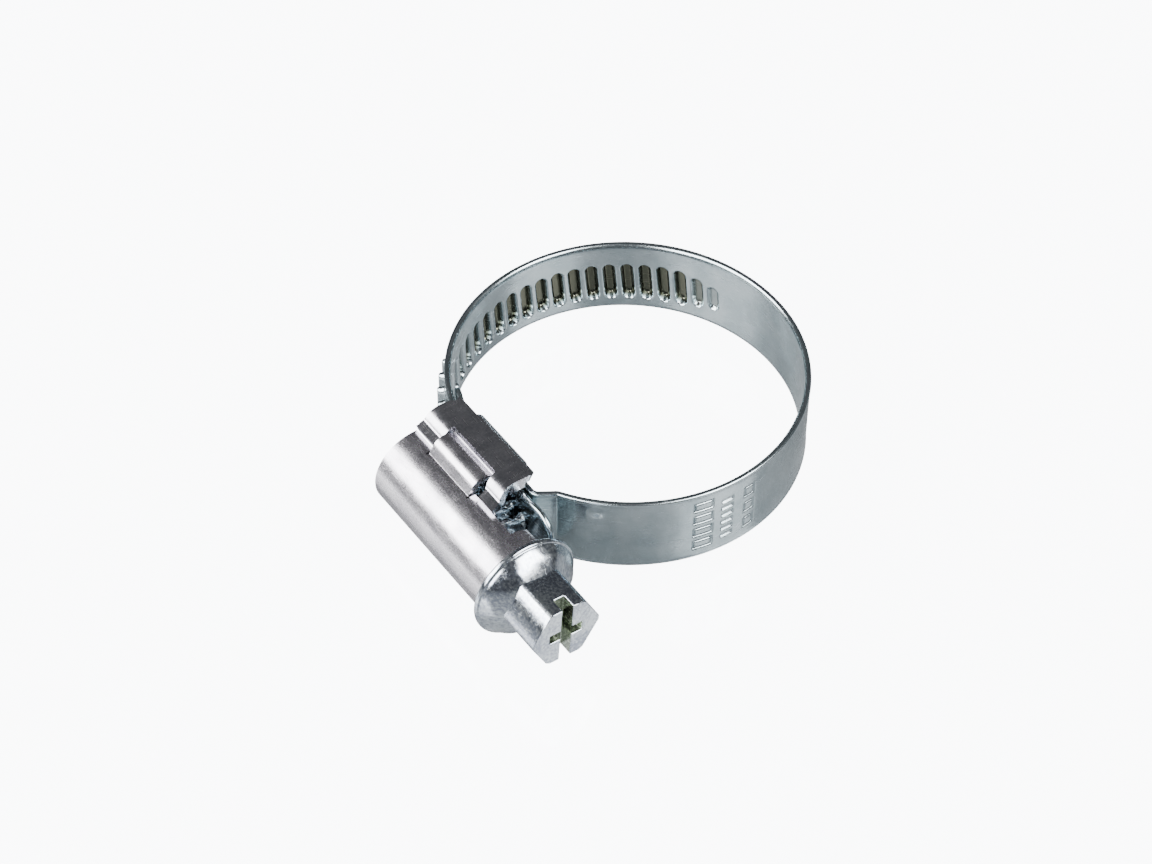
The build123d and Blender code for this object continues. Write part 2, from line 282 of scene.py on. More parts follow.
def hinge_length(joint):
    """Length from the tangent point to a hinge of the band, on the straight tail or on the ring."""
    x, y = joint["pos_m"][0] / MM, joint["pos_m"][1] / MM
    if x >= 0 and abs(y + RING_RADIUS) < STRAIGHT_TOLERANCE:
        return x
    angle = math.degrees(math.atan2(x, -y)) % 360
    return ring_length(angle)


def outline_distance(s, z, start):
    """Distance from points of the strip to its nearest edge, with the ends' corners rounded."""
    half = BAND_WIDTH / 2
    found = np.minimum(half - np.abs(z), np.minimum(TAIL_TIP - s, s - start))
    for end, corner, way in ((TAIL_TIP, TAIL_CORNER, 1), (start, TONGUE_CORNER, -1)):
        past = way * (s - end) + corner
        out = np.abs(z) - (half - corner)
        near = (past > 0) & (out > 0)
        found = np.where(near, corner - np.hypot(past, out), found)
    return np.maximum(found, 0)


def half_width(s, start):
    """Half the strip's width, which rounds off at both ends."""
    half = BAND_WIDTH / 2
    width = np.full_like(s, half)
    for end, corner, way in ((TAIL_TIP, TAIL_CORNER, 1), (start, TONGUE_CORNER, -1)):
        past = np.clip(way * (s - end) + corner, 0, corner)
        width = np.minimum(width, half - corner + np.sqrt(corner ** 2 - past ** 2))
    return width


def rib_list():
    """Each rib's length from the tangent point, and how fully it is pressed."""
    first = math.ceil((FIRST_RIB - RIB_PHASE) / RIB_PITCH)
    last = math.floor((LAST_RIB - RIB_PHASE) / RIB_PITCH)
    return [(RIB_PHASE + RIB_PITCH * k, min(1.0, FIRST_RIB_FULLNESS + RIB_FULLNESS_STEP * (k - first)))
            for k in range(first, last + 1)]


def rib_heights(s, z):
    """How far the ribs lift the sheet's outer and inner faces."""
    outer = np.zeros_like(s)
    inner = np.zeros_like(s)
    for place, fullness in rib_list():
        length = RIB_LENGTH * (SHORTEST_RIB_SHARE + (1 - SHORTEST_RIB_SHARE) * fullness)
        across = s - place - RIB_LEAN * (z - RIB_MIDDLE)
        along = np.abs(z - RIB_MIDDLE)
        off_outer = np.hypot(across, np.maximum(along - length / 2 + RIB_FOOT, 0))
        off_inner = np.hypot(across, np.maximum(along - length / 2 + RECESS_FOOT, 0))
        outer += RIB_RISE * fullness * smooth_step((RIB_FOOT - off_outer) / RIB_FLANK)
        inner += RECESS_DEPTH * fullness * smooth_step((RECESS_FOOT - off_inner) / RECESS_FLANK)
    return outer, inner


STAMP_ANGLE = 78.5
STAMP_STEP = 8.4
STAMP_DEPTH = 0.2
STAMP_EDGE = 0.17
# each row's number of marks, lowest height, pitch, half length and half height, and if it is framed
STAMP_ROWS = ((4, -2.7, 1.8, 0.95, 0.5, True),
              (6, -2.7, 1.0, 0.55, 0.16, False),
              (3, -2.4, 2.2, 0.55, 0.6, True))


def stamp_marks():
    """Plain stamped marks: middle length and height, half length and height, framed or solid."""
    marks = []
    for row, (count, lowest, pitch, half_s, half_z, framed) in enumerate(STAMP_ROWS):
        middle = ring_length(STAMP_ANGLE + row * STAMP_STEP)
        marks += [(middle, lowest + pitch * k, half_s, half_z, framed) for k in range(count)]
    return marks


def stamp_depth(s, z):
    """How deep the stamped frames and bars are pressed into the outer face."""
    depth = np.zeros_like(s)
    for mark_s, mark_z, half_s, half_z, framed in stamp_marks():
        off = np.maximum(np.abs(s - mark_s) - half_s, np.abs(z - mark_z) - half_z)
        off = np.abs(off) if framed else np.maximum(off, 0)
        depth = np.maximum(depth, STAMP_DEPTH * smooth_step(1 - off / STAMP_EDGE))
    return depth


EDGE_ROUNDING = 0.31
# the edges turn outwards a little, except near the strip's two ends
EDGE_TURN_START = 3.95
EDGE_TURN_RUN = 0.5
EDGE_TURN_RISE = 0.10
PLAIN_START = 12
PLAIN_FADE = 8
TAIL_FADE = 2
DIMPLE_ANGLE = 44.9
DIMPLE_HEIGHT = 2.9
DIMPLE_DEPTH = 0.14
DIMPLE_RADIUS = 0.8


def band_surface(s, z, start):
    """Heights of the strip's outer and inner face above its middle line."""
    edge = np.clip(outline_distance(s, z, start), 0, EDGE_ROUNDING)
    flat = BAND_SHEET / 2 - EDGE_ROUNDING
    half = flat + np.sqrt(EDGE_ROUNDING ** 2 - (EDGE_ROUNDING - edge) ** 2)
    rib_outer, rib_inner = rib_heights(s, z)
    turn = EDGE_TURN_RISE * smooth_step((np.abs(z) - EDGE_TURN_START) / EDGE_TURN_RUN)
    free = smooth_step((s - start - PLAIN_START) / PLAIN_FADE)
    free = free * smooth_step((TAIL_TIP - TAIL_FADE - s) / TAIL_FADE)
    dimple_off = np.hypot(s - ring_length(DIMPLE_ANGLE), z - DIMPLE_HEIGHT)
    dimple = DIMPLE_DEPTH * smooth_step(1 - dimple_off / DIMPLE_RADIUS)
    outer = half + rib_outer + turn * free - dimple - stamp_depth(s, z)
    inner = -half + rib_inner + turn * free - dimple
    return outer, inner


# where the strip's points lie: gaps along it and steps in from its ends and edges
PLAIN_GAP = 0.45
CORNER_GAP = 0.15
TONGUE_GAP = 0.3
JOGGLE_GAP = 0.12
STAMP_GAP = 0.06
RIB_GAP = 0.095
TAIL_GAP = 0.2
ACROSS_GAP = 0.1
JOGGLE_LEAD = 2.5
JOGGLE_FROM, JOGGLE_TO = 31, 42
RIB_MARGIN = 1.5
TIP_STEPS = (0.01, 0.04, 0.09, 0.15, 0.24, 0.35)
EDGE_STEPS = np.array([0, 0.008, 0.03, 0.07, 0.13, 0.24, 0.36, 0.5])


def band_stations(seams, start):
    """Lengths along the strip: close together on ribs, bends, stamps and ends."""
    tongue = start + TONGUE_CORNER + 0.4
    stamps_end = ring_length(STAMP_ANGLE + 2 * STAMP_STEP)
    fine = [(start, tongue, CORNER_GAP),
            (tongue, ring_length(JOGGLE_FROM), TONGUE_GAP),
            (ring_length(JOGGLE_FROM) - JOGGLE_LEAD, ring_length(JOGGLE_TO), JOGGLE_GAP),
            (ring_length(STAMP_ANGLE) - 1.2, stamps_end + 1, STAMP_GAP),
            (FIRST_RIB - RIB_MARGIN, LAST_RIB + RIB_MARGIN, RIB_GAP),
            (LAST_RIB + RIB_MARGIN, TAIL_TIP - 0.6, TAIL_GAP)]
    breaks = sorted(set(seams) | {start, TAIL_TIP} | {x for low, high, p in fine for x in (low, high)})
    stations = [breaks[0]]
    for low, high in zip(breaks, breaks[1:]):
        middle = (low + high) / 2
        pitch = min([p for a, b, p in fine if a <= middle <= b], default=PLAIN_GAP)
        stations += list(steps([low, high], pitch)[1:])
    stations += [start + t for t in TIP_STEPS] + [TAIL_TIP - t for t in TIP_STEPS]
    return np.unique(np.round(stations, 5))


def band_grid(material):
    """The whole band as one strip, cut into pieces that each span one hinge."""
    path, before_tangent = band_path()
    start = -before_tangent
    hinges = [hinge_length(joint) for joint in HINGES]
    seams = [round((a + b) / 2, 5) for a, b in zip(hinges, hinges[1:])]
    s = band_stations(seams, start)
    half = BAND_WIDTH / 2
    edge = half - EDGE_STEPS
    across = np.concatenate([-edge[:-1], steps([-edge[-1], edge[-1]], ACROSS_GAP), edge[-2::-1]]) / half
    grid_s = np.repeat(s[:, None], len(across), 1)
    grid_z = across[None, :] * half_width(s, start)[:, None]
    outer, inner = band_surface(grid_s, grid_z, start)
    centre, heading = walk(path, s + before_tangent)
    out = np.stack([np.sin(heading), -np.cos(heading)], 1)

    def layer(height):
        """Points of the whole strip at these heights above its middle line."""
        flat = centre[:, None, :] + out[:, None, :] * height[:, :, None]
        return np.concatenate([flat, grid_z[:, :, None]], 2)

    # one closed loop round the strip at each station: outer face up, inner face down
    loops = np.concatenate([layer(outer), layer(inner)[:, ::-1]], 1)
    side = np.concatenate([np.ones_like(outer), -np.ones_like(inner)], 1)
    loop_s = np.concatenate([grid_s, grid_s], 1)
    loop_z = np.concatenate([grid_z, grid_z[:, ::-1]], 1)
    grain = np.stack([loop_s, loop_z, side], 2)
    # how deep each inner point lies in a rib's hollow, which the band's material turns into painted
    # shade
    recess = rib_heights(grid_s, grid_z)[1] / RECESS_DEPTH
    hollow = np.concatenate([np.zeros_like(outer), recess[:, ::-1]], 1)
    normals = loop_normals(loops)
    cuts = [0] + [nearest(s, seam) for seam in seams] + [len(s) - 1]
    nodes = ["band_fixed_end"] + [f"band_link_{k:02d}" for k in range(1, len(HINGES))] + ["band_tail"]
    for number, (first, last) in enumerate(zip(cuts, cuts[1:])):
        piece = strip_piece(f"band_{number + 1:02d}", loops[first:last + 1],
                            normals[first:last + 1], grain[first:last + 1],
                            hollow[first:last + 1], material)
        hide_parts(nodes[number], nodes[number + 1])
        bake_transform(piece)


def nearest(values, wanted):
    """Index of the value closest to the wanted one."""
    return int(np.argmin(np.abs(values - wanted)))


def loop_normals(loops):
    """Smooth outward normals of a tube given as loops of points."""
    along = np.gradient(loops, axis=0)
    around = np.roll(loops, -1, 1) - np.roll(loops, 1, 1)
    normal = np.cross(along, around)
    return normal / np.maximum(np.linalg.norm(normal, axis=2, keepdims=True), 1e-12)


def strip_piece(name, loops, normals, grain, hollow, material):
    """One stretch of the band with closed ends."""
    rows, columns, _ = loops.shape
    index = np.arange(rows * columns).reshape(rows, columns)
    ahead = np.roll(index, -1, 1)
    faces = np.stack([index[:-1], index[1:], ahead[1:], ahead[:-1]], 2).reshape(-1, 4).tolist()
    points = [loops.reshape(-1, 3)]
    all_normals = [normals.reshape(-1, 3)]
    all_grain = [grain.reshape(-1, 3)]
    all_hollow = [hollow.ravel()]
    total = rows * columns
    half = columns // 2
    for row, way in ((0, -1), (rows - 1, 1)):
        step = loops[min(row + 1, rows - 1)] - loops[max(row - 1, 0)]
        facing = step.mean(0) * way
        facing = facing / np.linalg.norm(facing)
        points.append(loops[row])
        all_normals.append(np.repeat(facing[None], columns, 0))
        all_grain.append(grain[row])
        all_hollow.append(hollow[row])
        for k in range(half - 1):
            quad = [total + k, total + k + 1, total + columns - 2 - k, total + columns - 1 - k]
            faces.append(quad if way < 0 else quad[::-1])
        total += columns
    return make_piece(name, np.concatenate(points), faces, material,
                      np.concatenate(all_grain), np.concatenate(all_normals),
                      np.concatenate(all_hollow))


# ---------------------------------------------------------------- folded sheets

def folded_sheet(name, xs, us, inside, corners, place, sheet, material, rounding):
    """A flat pattern of cells in (x, u), corners rounded, folded by place(x, u), given its thickness."""
    keep = {}
    points, faces = [], []
    for i in range(len(xs) - 1):
        for j in range(len(us) - 1):
            if not inside((xs[i] + xs[i + 1]) / 2, (us[j] + us[j + 1]) / 2):
                continue
            face = []
            for a, b in ((i, j), (i + 1, j), (i + 1, j + 1), (i, j + 1)):
                if (a, b) not in keep:
                    keep[a, b] = len(points)
                    points.append((xs[a], us[b]))
                face.append(keep[a, b])
            faces.append(face)
    flat = np.array(points, float)
    for corner_x, corner_u, way_x, way_u, radius in corners:
        a = (flat[:, 0] - (corner_x - way_x * radius)) * way_x / radius
        b = (flat[:, 1] - (corner_u - way_u * radius)) * way_u / radius
        near = (a > 0) & (b > 0) & (np.maximum(a, b) < 1 + ROUNDING_ERROR)
        round_a = a * np.sqrt(1 - b * b / 2, where=near, out=np.ones_like(a))
        round_b = b * np.sqrt(1 - a * a / 2, where=near, out=np.ones_like(b))
        flat[near, 0] = corner_x - way_x * radius + way_x * radius * round_a[near]
        flat[near, 1] = corner_u - way_u * radius + way_u * radius * round_b[near]
    grain = np.concatenate([flat, np.zeros((len(flat), 1))], 1)
    piece = make_piece(name, place(flat[:, 0], flat[:, 1]), faces, material, grain)
    solid = piece.modifiers.new("sheet", "SOLIDIFY")
    solid.thickness = sheet * MM
    solid.offset = 0
    solid.use_even_offset = True
    soften_edges(piece, rounding, angle=55)
    return apply_modifiers(piece)


# the barrel's angles are counted from -Y, away from the ring
CREASE = math.radians(86.0)
BARREL_EDGE = math.radians(95.0)
COLLAR_EDGE = math.radians(119.0)
COLLAR_START = 11.7
CREASE_RADIUS = 0.4
TONGUE_SLOPE = 62.0
TONGUE_DIP = 52.0
TONGUE_BULGE = 1.2
TONGUE_RETURN = 0.3
LEG_Z = 5.3
LEG_BOTTOM = -17.75
LEG_LEAD = 0.35
LEG_SETBACK = 0.15
SLIT_DEPTH = 0.25
BARREL_ROUNDING = 0.12
EDGE_SLACK = 0.01
WINDOW_REAR = -1.6
WINDOW_FRONT = 5.6
WINDOW_GAP = 0.2


def tongue_path():
    """From the barrel's crease over the bulge and down the leg, in (outward, up) from the screw."""
    start = (BARREL_RADIUS * math.cos(CREASE), BARREL_RADIUS * math.sin(CREASE))
    heading = CREASE + math.pi / 2
    lead = 90 - math.degrees(CREASE)
    slope, dip = math.radians(TONGUE_SLOPE), math.radians(TONGUE_DIP)
    rise = CREASE_RADIUS * (math.cos(math.radians(lead)) - math.cos(slope))
    rise += TONGUE_BULGE * (1 - math.cos(slope))
    fall = (TONGUE_BULGE + TONGUE_RETURN) * (1 - math.cos(dip))
    ramp = (LEG_Z - start[1] - rise + fall) / math.sin(slope)
    moves = [arc_move(CREASE_RADIUS, lead - TONGUE_SLOPE), (ramp, 0.0),
             arc_move(TONGUE_BULGE, TONGUE_SLOPE + TONGUE_DIP), arc_move(TONGUE_RETURN, -TONGUE_DIP)]
    return start, heading, moves


def barrel(material):
    """Rolled sheet round the screw, with its front collar, two bulging tongues and two legs."""
    start, heading, moves = tongue_path()
    bulge_end = sum(length for length, turn in moves)
    (end,), _ = walk((start, heading, moves), [bulge_end])
    leg = end[0] + LEG_BOTTOM - SCREW_Y
    path = (start, heading, moves + [(leg, 0.0)])
    crease_u = BARREL_RADIUS * CREASE
    edge_u = BARREL_RADIUS * BARREL_EDGE
    collar_u = BARREL_RADIUS * COLLAR_EDGE
    leg_top = crease_u + bulge_end + LEG_LEAD
    leg_end = crease_u + bulge_end + leg
    tongue_rear = WINDOW_REAR + WINDOW_GAP
    tongue_front = WINDOW_FRONT - WINDOW_GAP
    leg_rear = SADDLE_LOW.x + LEG_SETBACK
    leg_front = SADDLE_HIGH.x - LEG_SETBACK
    slit_u = crease_u - SLIT_DEPTH

    def inside(x, u):
        """Whether the sheet covers this place of the flat pattern."""
        u = abs(u)
        if x < BARREL_LOW.x:
            return leg_rear < x and leg_top < u < leg_end
        if u > leg_top:
            return leg_rear < x < leg_front and u < leg_end
        if tongue_rear < x < tongue_front:
            return True
        if WINDOW_REAR < x < WINDOW_FRONT:
            return u < slit_u
        return u < (collar_u if x > COLLAR_START else edge_u)

    def place(x, u):
        """Roll the flat pattern round the screw, and fold its tongues and legs."""
        side = np.sign(u)
        at = np.abs(u)
        angle = at / BARREL_RADIUS
        outward = BARREL_RADIUS * np.cos(angle)
        up = BARREL_RADIUS * np.sin(angle)
        on_tongue = (at > crease_u) & (x > tongue_rear - EDGE_SLACK) & (x < tongue_front + EDGE_SLACK)
        far = on_tongue | (at > leg_top - EDGE_SLACK)
        points, _ = walk(path, np.clip(at - crease_u, 0, None))
        outward = np.where(far, points[:, 0], outward)
        up = np.where(far, points[:, 1], up)
        return np.stack([x, SCREW_Y - outward, side * up], 1)

    bends = [crease_u + sum(length for length, turn in moves[:k]) for k in range(len(moves) + 1)]
    roll_gap, crease_gap, ramp_gap, bulge_gap, leg_gap = 0.22, 0.08, 0.3, 0.12, 0.5
    half_us = [*steps([0, slit_u], roll_gap), *steps([slit_u, crease_u, bends[1]], crease_gap),
               *steps([bends[1], bends[2]], ramp_gap), *steps([bends[2], bends[3]], bulge_gap),
               *steps([bends[3], bends[4]], crease_gap), *steps([leg_top, leg_end], leg_gap),
               *steps([edge_u, collar_u], roll_gap)]
    us = np.unique(np.round([-u for u in half_us] + half_us, 5))
    xs = steps([leg_rear, BARREL_LOW.x, WINDOW_REAR, tongue_rear, tongue_front, WINDOW_FRONT,
                leg_front, COLLAR_START, BARREL_HIGH.x], 0.45)
    return folded_sheet("worm_housing_shell", xs, us, inside, [], place, BARREL_SHEET, material,
                        BARREL_ROUNDING)


SADDLE_Z = 6.1
SADDLE_BEND = 1.3
SADDLE_ROUNDING = 0.13
PLATE_GAP = 0.10
SADDLE_PLATE = FIXED_RADIUS - BAND_SHEET / 2 - PLATE_GAP - SADDLE_SHEET / 2
HOOK_START = 19.4
HOOK_BEND = 52.0
HOOK_REST = 17.0
HOOK_SHOULDER = 1.7
HOOK_HOLLOW = 0.7
REAR_FOOT_SHORT = 0.2
WINDOW_LIP = 0.3
FOOT_DROP = 0.12
HOOK_FOOT_Z = BARREL_RADIUS + BARREL_SHEET / 2 + FOOT_DROP
HOOK_END = 22.2
HOOK_LEAN = 0.8
PLATE_REAR = -1.8
PLATE_FRONT = 5.5
REAR_BEND_CUT = math.radians(65)
FRONT_BEND_CUT = math.radians(48)
REAR_CORNER = 1.7
FRONT_CORNER = 0.7
REAR_FOOT_CORNER = 0.5
WINDOW_CORNER = 0.25
FRONT_FOOT_CORNER = 0.3


def saddle_path():
    """From the plate's middle round the bend, up the wall and down one hook, in (outward, up)."""
    bend, rest = math.radians(HOOK_BEND), math.radians(HOOK_REST)
    drop = SADDLE_Z - HOOK_FOOT_Z - HOOK_SHOULDER * (1 - math.cos(bend))
    drop -= HOOK_HOLLOW * (math.cos(rest) - math.cos(bend))
    run = HOOK_END - HOOK_START - HOOK_SHOULDER * math.sin(bend)
    run -= HOOK_HOLLOW * (math.sin(bend) - math.sin(rest))
    ramp = (drop * math.cos(rest) - run * math.sin(rest)) / math.sin(bend - rest)
    foot = (run * math.sin(bend) - drop * math.cos(bend)) / math.sin(bend - rest)
    wall = HOOK_START - SADDLE_PLATE - SADDLE_BEND
    moves = [(SADDLE_Z - SADDLE_BEND, 0.0), arc_move(SADDLE_BEND, -90), (wall, 0.0),
             arc_move(HOOK_SHOULDER, -HOOK_BEND), (ramp, 0.0),
             arc_move(HOOK_HOLLOW, HOOK_BEND - HOOK_REST), (foot, 0.0)]
    return (SADDLE_PLATE, 0.0), math.pi / 2, moves


def saddle(material):
    """Folded sheet under the band, with two hooks on each side that hold the housing down."""
    path = saddle_path()
    moves = path[2]
    ends = [sum(length for length, turn in moves[:k]) for k in range(len(moves) + 1)]
    rear, front = SADDLE_LOW.x, SADDLE_HIGH.x
    rear_cut = ends[1] + SADDLE_BEND * REAR_BEND_CUT
    front_cut = ends[1] + SADDLE_BEND * FRONT_BEND_CUT
    rear_foot = ends[-1] - REAR_FOOT_SHORT

    def inside(x, u):
        """Whether the sheet covers this place of the flat pattern."""
        u = abs(u)
        if u > ends[3] + WINDOW_LIP:
            return x < WINDOW_REAR and u < rear_foot or x > WINDOW_FRONT
        if x < PLATE_REAR:
            return u > rear_cut
        if x > PLATE_FRONT:
            return u > front_cut
        return True

    def place(x, u):
        """Fold the flat pattern, and lean its front hooks forwards."""
        at = np.abs(u)
        points, _ = walk(path, at)
        lean = HOOK_LEAN * smooth_step((at - ends[3]) / (ends[-1] - ends[3]))
        lean = lean * (x > WINDOW_FRONT - EDGE_SLACK)
        return np.stack([x + lean, -points[:, 0], np.sign(u) * points[:, 1]], 1)

    corners = []
    for side in (1, -1):
        corners.append((rear, side * rear_cut, -1, -side, REAR_CORNER))
        corners.append((front, side * front_cut, 1, -side, FRONT_CORNER))
        corners.append((rear, side * rear_foot, -1, side, REAR_FOOT_CORNER))
        corners.append((WINDOW_REAR, side * rear_foot, 1, side, WINDOW_CORNER))
        corners.append((WINDOW_FRONT, side * ends[-1], -1, side, WINDOW_CORNER))
        corners.append((front, side * ends[-1], 1, side, FRONT_FOOT_CORNER))
    plate_gap, bend_gap, wall_gap, hook_gap, foot_gap = 0.5, 0.16, 0.25, 0.12, 0.15
    half_us = [*steps([0, ends[1]], plate_gap), *steps([ends[1], ends[2]], bend_gap),
               rear_cut, front_cut, *steps([ends[2], ends[3]], wall_gap),
               *steps([ends[3], ends[3] + WINDOW_LIP, ends[4], ends[5], ends[6]], hook_gap),
               *steps([ends[6], rear_foot, ends[7]], foot_gap)]
    us = np.unique(np.round([-u for u in half_us] + half_us, 4))
    xs = steps([rear, PLATE_REAR, WINDOW_REAR, PLATE_FRONT, WINDOW_FRONT, front], 0.2)
    return folded_sheet("saddle_shell", xs, us, inside, corners, place, SADDLE_SHEET, material,
                        SADDLE_ROUNDING)


# ---------------------------------------------------------------- screw

THREAD_OUTER = 3.80
THREAD_CORE = 2.95
THREAD_CREST = 0.40
THREAD_ROOT = 0.95
THREAD_TURNS = 7
THREAD_START = RIB_PHASE - 1.5 * RIB_PITCH
THREAD_END = THREAD_START + THREAD_TURNS * RIB_PITCH
THREAD_LEAD = 0.6
THREAD_RISE = 0.8
THREAD_FADE = 1.2
REAR_ROUNDING = 0.6
REAR_FACE = 0.02
NECK_START = 11.6
NECK_RAMP = 0.35
NECK_RADIUS = 3.3
FLANGE_REAR = 14.25
FLANGE_RADIUS = (SCREW_HIGH.z - SCREW_LOW.z) / 2
FLANGE_RIM = 0.62
FLANGE_ROUNDING = 0.24
FLANGE_DOME = 1.35
FLANGE_RIDGE = 0.45
RIDGE_START = 0.15
RIDGE_RUN = 0.5
DOME_END = 1.3
GRAIN_RADIUS = 4
HEX_START = 16.95
HEX_END = SCREW_HIGH.x
HEX_FLATS = 6.9
HEX_CORNER = 3.84
HEX_TURN = math.radians(-3.2)
HEX_STEP = math.pi / 3
HEX_ROOT = FLANGE_REAR + 1.0
HEX_ROUNDING = 0.11
SLOT_WIDTH = 1.25
SLOT_DEPTH = 1.6
CROSS_ARM = 2.05
CROSS_DEPTH = 2.6
CROSS_TAPER = 0.55
CUT_LIP = 0.15
CUT_RIM = 0.12


def turned(name, xs, angles, radius, material):
    """A closed solid round the screw's axis from radius(x, angle), angles from +Y towards +Z."""
    grid_x = np.repeat(xs[:, None], len(angles), 1)
    grid_a = np.repeat(angles[None, :], len(xs), 0)
    grid_r = radius(grid_x, grid_a)
    points = np.stack([grid_x, SCREW_Y + grid_r * np.cos(grid_a), grid_r * np.sin(grid_a)], 2)
    grain = np.stack([grid_x, grid_a * GRAIN_RADIUS, np.zeros_like(grid_x)], 2)
    rows, columns = grid_x.shape
    index = np.arange(rows * columns).reshape(rows, columns)
    ahead = np.roll(index, -1, 1)
    faces = np.stack([index[:-1], ahead[:-1], ahead[1:], index[1:]], 2).reshape(-1, 4).tolist()
    faces.append(index[0][::-1].tolist())
    faces.append(index[-1].tolist())
    return make_piece(name, points.reshape(-1, 3), faces, material, grain.reshape(-1, 3))


def hex_radius(angle):
    """Distance from the axis to the hexagon's side at an angle, with its corners cut round."""
    off = np.mod(angle - HEX_TURN, HEX_STEP) - HEX_STEP / 2
    return np.minimum(HEX_FLATS / 2 / np.cos(off), HEX_CORNER)


def shank_radius(x, angle):
    """Worm thread, its run-outs, and the plain neck."""
    turns = (x - THREAD_START) / RIB_PITCH - angle / (2 * math.pi)
    off = np.abs(np.mod(turns + 0.5, 1) - 0.5) * RIB_PITCH
    flank = (THREAD_ROOT - off - THREAD_CREST / 2) / (THREAD_ROOT - THREAD_CREST)
    run_out = smooth_step((x - THREAD_START + THREAD_LEAD) / THREAD_RISE)
    run_out = run_out * smooth_step((THREAD_END - x) / THREAD_FADE)
    ridge = (THREAD_OUTER - THREAD_CORE) * smooth_step(flank) * run_out
    neck = smooth_step((x - NECK_START + NECK_RAMP) / NECK_RAMP)
    body = THREAD_CORE + (NECK_RADIUS - THREAD_CORE) * neck
    rear = np.sqrt(np.clip((x - SCREW_LOW.x + REAR_FACE) / REAR_ROUNDING, 0, 1))
    return (body - REAR_ROUNDING * (1 - rear)) + ridge * (1 - neck)


def flange_radius(x, angle):
    """Rim with rounded edges, and a dome that starts round and meets the hexagon in faint ridges."""
    rim_end = FLANGE_REAR + FLANGE_RIM
    low = np.clip((x - FLANGE_REAR) / FLANGE_ROUNDING, 0, 1)
    rim = FLANGE_RADIUS - FLANGE_ROUNDING + FLANGE_ROUNDING * np.sqrt(1 - (1 - low) ** 2)
    high = np.clip((rim_end - x) / FLANGE_ROUNDING, 0, 1)
    rim = rim - FLANGE_ROUNDING * (1 - np.sqrt(1 - (1 - high) ** 2))
    run = np.clip((x - rim_end) / (HEX_START - rim_end), 0, DOME_END)
    top = FLANGE_RADIUS - FLANGE_ROUNDING
    dome = HEX_FLATS / 2 + (top - HEX_FLATS / 2) * (1 - run ** FLANGE_DOME)
    ridge = FLANGE_RIDGE * smooth_step((run - RIDGE_START) / RIDGE_RUN)
    ridge = ridge * (hex_radius(angle) - HEX_FLATS / 2)
    return np.where(x < rim_end, rim, dome + ridge)


def outline_prism(outline, start, end):
    """Points and faces of a prism along X from an outline in (Y, Z) about the screw's axis."""
    count = len(outline)
    points = [(x, SCREW_Y + y, z) for x in (start, end) for y, z in outline]
    faces = [list(range(count))[::-1], list(range(count, 2 * count))]
    faces += [[k, (k + 1) % count, count + (k + 1) % count, count + k] for k in range(count)]
    return points, faces


def cutter(name, outline, start, end, taper=1.0):
    """A hidden solid for a recess, narrower at its bottom by the taper."""
    points, faces = outline_prism(outline, start, end)
    count = len(outline)
    points = [(x, SCREW_Y + (y - SCREW_Y) * taper, z * taper) if k < count else (x, y, z)
              for k, (x, y, z) in enumerate(points)]
    mesh = bpy.data.meshes.new(name)
    mesh.from_pydata([[c * MM for c in point] for point in points], [], faces)
    solid = bpy.data.objects.new(name, mesh)
    bpy.context.scene.collection.objects.link(solid)
    return solid


def hex_head(material, recess_shade_material):
    """Hexagon with softened edges, a slot right across its end and a cross recess."""
    outline = []
    corner_half = HEX_STEP / 2 - math.acos(HEX_FLATS / 2 / HEX_CORNER)
    for k in range(6):
        for part in np.linspace(-1, 1, 5):
            angle = HEX_TURN + k * HEX_STEP + part * corner_half
            outline.append((HEX_CORNER * math.cos(angle), HEX_CORNER * math.sin(angle)))
    points, faces = outline_prism(outline, HEX_ROOT, HEX_END)
    head = make_piece("screw_head", points, faces, material)
    turn = Matrix.Rotation(HEX_TURN, 2)

    def turned_outline(corners):
        """The outline turned with the hexagon."""
        return [tuple(turn @ Vector(corner)) for corner in corners]

    w, a, far = SLOT_WIDTH / 2, CROSS_ARM, HEX_FLATS
    slot = [(w, -far), (w, far), (-w, far), (-w, -far)]
    cross = [(-w, -a), (w, -a), (w, -w), (a, -w), (a, w), (w, w),
             (w, a), (-w, a), (-w, w), (-a, w), (-a, -w), (-w, -w)]
    cutters = [cutter("slot_cut", turned_outline(slot), HEX_END - SLOT_DEPTH, HEX_END + 1.0),
               cutter("cross_cut", turned_outline(cross), HEX_END - CROSS_DEPTH, HEX_END + 0.5,
                      CROSS_TAPER)]
    for tool in cutters:
        cut = head.modifiers.new(tool.name, "BOOLEAN")
        cut.operation = "DIFFERENCE"
        cut.solver = "EXACT"
        cut.object = tool
    soften_edges(head, HEX_ROUNDING, angle=35)
    apply_modifiers(head)
    set_attribute(head.data, "grain", np.array([vertex.co for vertex in head.data.vertices]) / MM)
    for tool in cutters:
        bpy.data.objects.remove(tool)
    paint_recess(head, recess_shade_material)
    return head


def paint_recess(head, recess_shade_material):
    """Give the faces inside the recess a darker, greener zinc: painted shade in the slot and cross."""
    head.data.materials.append(recess_shade_material)
    for face in head.data.polygons:
        centre = face.center / MM
        off = math.hypot(centre.y - SCREW_Y, centre.z)
        if centre.x < HEX_END - CUT_LIP and off < HEX_FLATS / 2 - CUT_RIM:
            face.material_index = 1


